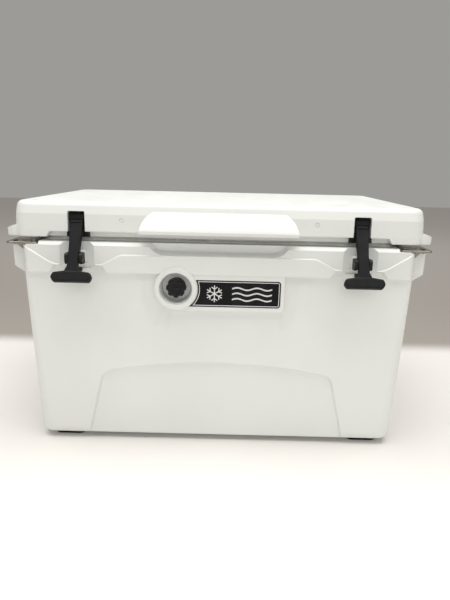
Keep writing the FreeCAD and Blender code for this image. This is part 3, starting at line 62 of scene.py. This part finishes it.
# ---- node helpers --------------------------------------------------------------------------
class Graph:
    """A new material, with short calls that add and link its shader nodes."""

    def __init__(self, name):
        self.material = bpy.data.materials.new(name)
        self.material.use_nodes = True
        self.tree = self.material.node_tree
        self.shader = self.tree.nodes["Principled BSDF"]
        self.place = self.add("ShaderNodeTexCoord").outputs["Object"]

    def add(self, kind, **values):
        """New node; a value goes to its property of that name, or else to its input."""
        node = self.tree.nodes.new(kind)
        for key, value in values.items():
            if hasattr(node, key):
                setattr(node, key, value)
            else:
                self.feed(node.inputs[key], value)
        return node

    def feed(self, socket, value):
        """Links a socket's output, or sets a plain value."""
        if isinstance(value, bpy.types.NodeSocket):
            self.tree.links.new(value, socket)
        else:
            socket.default_value = value

    def stretched(self, x, y, z):
        """Object coordinates, scaled along each axis."""
        return self.add("ShaderNodeMapping", Vector=self.place, Scale=(x, y, z)).outputs["Vector"]

    def noise(self, scale, detail=4.0, rough=0.5, vector=None):
        node = self.add("ShaderNodeTexNoise", Scale=scale, Detail=detail, Roughness=rough)
        self.feed(node.inputs["Vector"], vector or self.place)
        return node.outputs["Fac"]

    def cells(self, scale):
        return self.add("ShaderNodeTexVoronoi", Scale=scale, Vector=self.place).outputs["Distance"]

    def span(self, value, low, high, out_low=0.0, out_high=1.0):
        """Smooth step of a value from low..high to out_low..out_high."""
        node = self.add("ShaderNodeMapRange", interpolation_type="SMOOTHSTEP")
        self.feed(node.inputs["Value"], value)
        self.feed(node.inputs["From Min"], low)
        self.feed(node.inputs["From Max"], high)
        self.feed(node.inputs["To Min"], out_low)
        self.feed(node.inputs["To Max"], out_high)
        return node.outputs["Result"]

    def blend(self, factor, first, second):
        """Colour between two colours."""
        node = self.add("ShaderNodeMix", data_type="RGBA")
        colours = [socket for socket in node.inputs if socket.type == "RGBA"]
        self.feed(node.inputs["Factor"], factor)
        self.feed(colours[0], first)
        self.feed(colours[1], second)
        return next(socket for socket in node.outputs if socket.type == "RGBA")

    def maths(self, operation, first, second):
        node = self.add("ShaderNodeMath", operation=operation)
        self.feed(node.inputs[0], first)
        self.feed(node.inputs[1], second)
        return node.outputs[0]

    def edges(self):
        """About 0.5 on flat areas, more on outer edges and less in corners."""
        return self.add("ShaderNodeNewGeometry").outputs["Pointiness"]

    def soft_edge(self, radius):
        """Surface direction with every hard edge eased to this radius."""
        return self.add("ShaderNodeBevel", samples=6, Radius=radius).outputs["Normal"]

    def bump(self, height, distance, strength, under):
        node = self.add("ShaderNodeBump", Height=height, Distance=distance, Strength=strength, Normal=under)
        return node.outputs["Normal"]

    def finish(self, **values):
        """Feeds the shader's inputs, named with _ for a space, and gives the material."""
        for key, value in values.items():
            self.feed(self.shader.inputs[key.replace("_", " ")], value)
        return self.material


# ---- materials -----------------------------------------------------------------------------
def polyethylene(name, tint=(0.785, 0.80, 0.78), corner_shade_tint=(0.55, 0.54, 0.50)):
    """Rotomoulded plastic: orange peel, cloudy gloss, fine scuffs and painted shade in the corners."""
    g = Graph(name)
    cloud = g.span(g.noise(scale=5.0, detail=3.0), 0.35, 0.65)
    clean = g.blend(cloud, toned(tint, 0.965), shade(*tint))
    # painted shade: concave corners and creases are darkened towards a grey tint
    corner_shade = g.maths("MULTIPLY", g.span(g.edges(), 0.40, 0.49, 1.0, 0.0), 0.25)
    colour = g.blend(corner_shade, clean, shade(*corner_shade_tint))
    gloss = g.span(g.noise(scale=38.0), 0.3, 0.7, 0.30, 0.40)
    streaks = g.noise(scale=160.0, detail=6.0, rough=0.7, vector=g.stretched(1.0, 1.0, 0.15))
    scuffs = g.maths("MULTIPLY", g.span(streaks, 0.62, 0.74), 0.12)
    peel = g.bump(g.noise(scale=520.0, detail=2.0), 0.12 * MM, 0.55, g.soft_edge(1.6 * MM))
    waves = g.bump(g.noise(scale=34.0, detail=1.0), 0.9 * MM, 0.22, peel)
    return g.finish(Base_Color=colour, Roughness=g.maths("ADD", gloss, scuffs), Normal=waves, IOR=1.5)


def rubber(name, tint):
    """Moulded rubber: fine grain, slight dents, dust, and outer edges worn pale."""
    g = Graph(name)
    pale = shade(*(channel * 1.7 + 0.006 for channel in tint))
    dust = g.maths("MULTIPLY", g.span(g.noise(scale=60.0, detail=5.0, rough=0.6), 0.45, 0.8), 0.45)
    worn = g.maths("MULTIPLY", g.span(g.edges(), 0.53, 0.62), 0.35)
    colour = g.blend(worn, g.blend(dust, shade(*tint), pale), pale)
    rough = g.span(g.noise(scale=90.0), 0.3, 0.7, 0.48, 0.66)
    grain = g.bump(g.noise(scale=2200.0, detail=2.0), 0.06 * MM, 0.5, g.soft_edge(0.8 * MM))
    dents = g.bump(g.noise(scale=140.0, detail=2.0), 0.3 * MM, 0.2, grain)
    return g.finish(Base_Color=colour, Roughness=rough, Normal=dents, Specular_IOR_Level=0.18)


def black_plastic(name):
    """Injection-moulded plastic with a spark-eroded grain and faintly pale edges."""
    g = Graph(name)
    base = shade(0.009, 0.009, 0.010)
    pale = shade(0.024, 0.024, 0.026)
    haze = g.span(g.noise(scale=45.0), 0.4, 0.75, 0.0, 0.6)
    worn = g.span(g.edges(), 0.52, 0.6, 0.0, 0.5)
    colour = g.blend(worn, g.blend(haze, base, pale), pale)
    rough = g.span(g.noise(scale=120.0, detail=3.0), 0.3, 0.7, 0.34, 0.5)
    spark = g.bump(g.cells(scale=1500.0), 0.05 * MM, 0.5, g.soft_edge(0.6 * MM))
    return g.finish(Base_Color=colour, Roughness=rough, Normal=spark, Specular_IOR_Level=0.2)


def brushed_metal(name, tint, stretch, rough_low, rough_high):
    """Metal with fine strokes or grain, packed closer along an axis with a larger stretch."""
    g = Graph(name)
    strokes = g.noise(scale=70.0, detail=5.0, rough=0.6, vector=g.stretched(*stretch))
    colour = g.blend(g.span(strokes, 0.3, 0.7), toned(tint, 0.86), shade(*tint))
    rough = g.span(strokes, 0.3, 0.7, rough_low, rough_high)
    relief = g.bump(strokes, 0.05 * MM, 0.4, g.soft_edge(0.3 * MM))
    return g.finish(Base_Color=colour, Roughness=rough, Metallic=1.0, Normal=relief)


def gloss_black(name):
    """Lacquered plate: deep black, slightly wavy, glossy with small duller patches."""
    g = Graph(name)
    haze = g.span(g.noise(scale=30.0, detail=5.0), 0.4, 0.7)
    colour = g.blend(haze, shade(0.010, 0.010, 0.011), shade(0.016, 0.016, 0.018))
    rough = g.span(g.noise(scale=220.0, detail=6.0, rough=0.7), 0.4, 0.75, 0.07, 0.22)
    waves = g.bump(g.noise(scale=25.0, detail=1.0), 0.4 * MM, 0.15, g.soft_edge(0.4 * MM))
    return g.finish(Base_Color=colour, Roughness=rough, Normal=waves, Specular_IOR_Level=0.08)


def foam(name):
    """Cut insulation foam with open pores, painted darker in their pits as painted shade."""
    g = Graph(name)
    pores = g.cells(scale=700.0)
    # painted shade: the pores' pits are painted darker than the foam around them
    colour = g.blend(g.span(pores, 0.0, 0.5), shade(0.62, 0.52, 0.30), shade(0.80, 0.72, 0.48))
    relief = g.bump(pores, 0.4 * MM, 0.6, g.soft_edge(0.5 * MM))
    return g.finish(Base_Color=colour, Roughness=0.9, Normal=relief)


ALONG_PLATE = (1.0, 30.0, 30.0)
EVEN_GRAIN = (8.0, 8.0, 8.0)
EVEN_COARSE = (6.0, 6.0, 6.0)

MATERIALS = {
    "white_polyethylene": polyethylene("white_polyethylene"),
    "insulation_foam": foam("insulation_foam"),
    "grey_gasket": rubber("grey_gasket", (0.62, 0.62, 0.61)),
    "black_rubber": rubber("black_rubber", (0.009, 0.0093, 0.010)),
    "black_plastic": black_plastic("black_plastic"),
    # the stainless tint is painted warm and dark: a painted reflection of brown surroundings and painted
    # shade, not the steel's own grey
    "stainless": brushed_metal("stainless", (0.42, 0.38, 0.34), ALONG_PLATE, 0.2, 0.36),
    "zinc_screw": brushed_metal("zinc_screw", (0.55, 0.55, 0.54), EVEN_GRAIN, 0.25, 0.42),
    "gloss_black": gloss_black("gloss_black"),
    "silver_print": brushed_metal("silver_print", (0.72, 0.72, 0.73), EVEN_COARSE, 0.28, 0.42),
}


def dress_frame():
    """Gives every CAD node its procedural material."""
    for row in frame["record"]["subparts"]:
        materials = nodes[row["node"]].data.materials
        materials.clear()
        materials.append(MATERIALS[row["material_slot"]])


# ---- fine pieces ---------------------------------------------------------------------------
SIDES = {"left": -1, "right": 1}
LOCK_HEAD_R = 4.2 * MM              # head of a corner plate's screw
PIN_GAP = 0.03 * MM                 # from a latch pin's end to where its collar sits
SEAL_CORNER_R = 14.0 * MM

# Profiles in millimetres
SEAL_FIN = ((-0.6, 0.9), (2.2, 1.3), (2.7, 1.7), (2.2, 2.1), (-0.6, 2.5))                  # out, up
WASHER = ((4.25, -0.1), (5.7, -0.1), (5.9, 0.1), (5.9, 0.5), (5.6, 0.8), (4.25, 0.8))      # radius, along
COLLAR = ((1.6, -0.2), (3.6, -0.2), (3.6, 0.25), (3.2, 0.5), (1.6, 0.5))                   # radius, along


def ring_mesh(name, rings, slot, body):
    """Closed surface through rings of equal length, each a closed loop of points."""
    work = bmesh.new()
    loops = [[work.verts.new(point) for point in ring] for ring in rings]
    count = len(loops[0])
    for first, second in zip(loops, loops[1:] + loops[:1]):
        for k in range(count):
            after = (k + 1) % count
            work.faces.new((first[k], first[after], second[after], second[k]))
    bmesh.ops.recalc_face_normals(work, faces=work.faces)
    for face in work.faces:
        face.smooth = True
    mesh = bpy.data.meshes.new(name)
    work.to_mesh(mesh)
    work.free()
    mesh.materials.append(MATERIALS[slot])
    piece = bpy.data.objects.new(name, mesh)
    bpy.context.scene.collection.objects.link(piece)
    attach(piece, body)


def turned_ring(name, centre, axis, profile, slot, body, steps):
    """Ring that the profile makes when it is turned about an axis through the centre."""
    turn = Vector((0, 0, 1)).rotation_difference(Vector(axis))
    rings = []
    for k in range(steps):
        angle = 2 * math.pi * k / steps
        across = Vector((math.cos(angle), math.sin(angle), 0))
        points = [across * radius + Vector((0, 0, along)) for radius, along in profile]
        rings.append([centre + turn @ point * MM for point in points])
    ring_mesh(name, rings, slot, body)


def rounded_loop(low, high, corner_r, grow, z, arc_steps=8):
    """Points at height z round a rectangle with round corners, grown outwards."""
    left, right = low.x + corner_r, high.x - corner_r
    front, back = low.y + corner_r, high.y - corner_r
    radius = corner_r + grow
    points = []
    for x, y, start in ((right, front, -90), (right, back, 0), (left, back, 90), (left, front, 180)):
        for k in range(arc_steps + 1):
            angle = math.radians(start + 90 * k / arc_steps)
            points.append((x + radius * math.cos(angle), y + radius * math.sin(angle), z))
    return points


def add_seal_fin():
    """Thin lip that runs round the outside of the lid's seal."""
    low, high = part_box("lid_gasket")
    rings = [rounded_loop(low, high, SEAL_CORNER_R, out * MM, low.z + up * MM) for out, up in SEAL_FIN]
    ring_mesh("lid_seal_fin", rings, "grey_gasket", "lid")


def add_washers():
    """Flat washers round the heads of the corner plates' screws."""
    for side in SIDES:
        low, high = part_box(f"lock_screws_{side}")
        plate_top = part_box(f"lock_plate_{side}")[1].z
        for number, y in enumerate((low.y + LOCK_HEAD_R, high.y - LOCK_HEAD_R), 1):
            centre = Vector(((low.x + high.x) / 2, y, plate_top))
            turned_ring(f"lock_washer_{side}_{number}", centre, (0, 0, 1), WASHER, "zinc_screw", "chest", 40)


def add_pin_collars():
    """Small collars that keep each latch pin in its bracket."""
    for side, sign in SIDES.items():
        low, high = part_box(f"latch_pin_{side}")
        reach = (high.x - low.x) / 2 + PIN_GAP
        for label, way in (("inner", -sign), ("outer", sign)):
            centre = (low + high) / 2 + Vector((way * reach, 0, 0))
            turned_ring(f"pin_collar_{side}_{label}", centre, (way, 0, 0), COLLAR, "stainless", "lid", 28)


# ---- floor, light and camera ---------------------------------------------------------------
FLOOR_HALF = 6.0
NEAR_PAPER = shade(0.88, 0.855, 0.83)
# painted shade: the paper is painted dark behind the chest, standing for a wall in shadow, and fades paler
# further back
SHADED_PAPER = shade(0.38, 0.347, 0.318)
FAR_PAPER = shade(0.74, 0.695, 0.65)
SHADE_START, SHADE_FULL = 0.30, 0.40          # where the paper turns dark behind the chest
FADE_START, FADE_END = 0.45, 2.6              # from there it grows paler again

SKY = shade(0.64, 0.63, 0.60)
SKY_STRENGTH = 0.52
WARM_WHITE = (1.0, 0.99, 0.97)
CEILING_WHITE = (1.0, 0.99, 0.96)

CAMERA_PLACE = (0.0153, -0.9948, 0.4983)
CAMERA_YAW, CAMERA_PITCH, CAMERA_ROLL = -0.215, 15.313, 1.301      # degrees; pitch is downwards
LENS_MM, SENSOR_MM = 29.39, 36.0


def add_floor():
    """Pale paper with painted shade behind the chest, which fades paler again further back."""
    mesh = bpy.data.meshes.new("floor")
    corners = [(x * FLOOR_HALF, y * FLOOR_HALF, 0) for x, y in ((-1, -1), (1, -1), (1, 1), (-1, 1))]
    mesh.from_pydata(corners, [], [(0, 1, 2, 3)])
    floor = bpy.data.objects.new("floor", mesh)
    bpy.context.scene.collection.objects.link(floor)
    g = Graph("floor_paper")
    depth = g.add("ShaderNodeSeparateXYZ", Vector=g.place).outputs["Y"]
    behind = g.blend(g.span(depth, FADE_START, FADE_END), SHADED_PAPER, FAR_PAPER)
    colour = g.blend(g.span(depth, SHADE_START, SHADE_FULL), NEAR_PAPER, behind)
    mesh.materials.append(g.finish(Base_Color=colour, Roughness=0.6))


def add_light(name, size, watts, place, target, colour):
    """Rectangular soft light at a place, facing a target."""
    lamp = bpy.data.lights.new(name, "AREA")
    lamp.shape = "RECTANGLE"
    lamp.size, lamp.size_y = size
    lamp.energy = watts
    lamp.color = colour
    holder = bpy.data.objects.new(name, lamp)
    holder.location = place
    holder.rotation_euler = (Vector(target) - Vector(place)).to_track_quat("-Z", "Y").to_euler()
    bpy.context.scene.collection.objects.link(holder)


def add_lights():
    """One large light overhead, one far in front, and the glow of the floor under the front."""
    add_light("ceiling", (2.6, 1.6), 54.0, (0.0, -0.25, 2.1), (0.0, -0.15, 0.0), CEILING_WHITE)
    add_light("floor_glow", (1.3, 0.12), 0.35, (0.0, -0.66, 0.03), (0.0, -0.19, 0.05), WARM_WHITE)
    add_light("front_fill", (2.4, 1.4), 11.0, (0.3, -2.6, 1.3), (0.0, 0.0, 0.25), WARM_WHITE)


def add_world():
    world = bpy.data.worlds.new("studio")
    bpy.context.scene.world = world
    world.use_nodes = True
    background = world.node_tree.nodes["Background"]
    background.inputs["Color"].default_value = SKY
    background.inputs["Strength"].default_value = SKY_STRENGTH


def set_view():
    """Plain view transform, so that the materials' colours stay as they are written."""
    view = bpy.context.scene.view_settings
    view.view_transform = "Standard"
    view.look = "None"
    view.exposure = 0.0


def add_camera():
    """Camera in front of the chest, a little above the lid."""
    yaw, pitch, roll = (math.radians(angle) for angle in (CAMERA_YAW, CAMERA_PITCH, CAMERA_ROLL))
    look = Vector((math.sin(yaw) * math.cos(pitch), math.cos(yaw) * math.cos(pitch), -math.sin(pitch)))
    level = Vector((math.cos(yaw), -math.sin(yaw), 0.0))
    upright = level.cross(look)
    right = level * math.cos(roll) + upright * math.sin(roll)
    top = upright * math.cos(roll) - level * math.sin(roll)
    turn = Matrix((right, top, -look)).transposed().to_4x4()
    camera = bpy.data.objects.new("camera", bpy.data.cameras.new("camera"))
    camera.data.lens = LENS_MM
    camera.data.sensor_width = SENSOR_MM
    camera.matrix_world = Matrix.Translation(CAMERA_PLACE) @ turn
    bpy.context.scene.collection.objects.link(camera)
    bpy.context.scene.camera = camera


dress_frame()
add_seal_fin()
add_washers()
add_pin_collars()
add_floor()
add_world()
add_lights()
set_view()
add_camera()
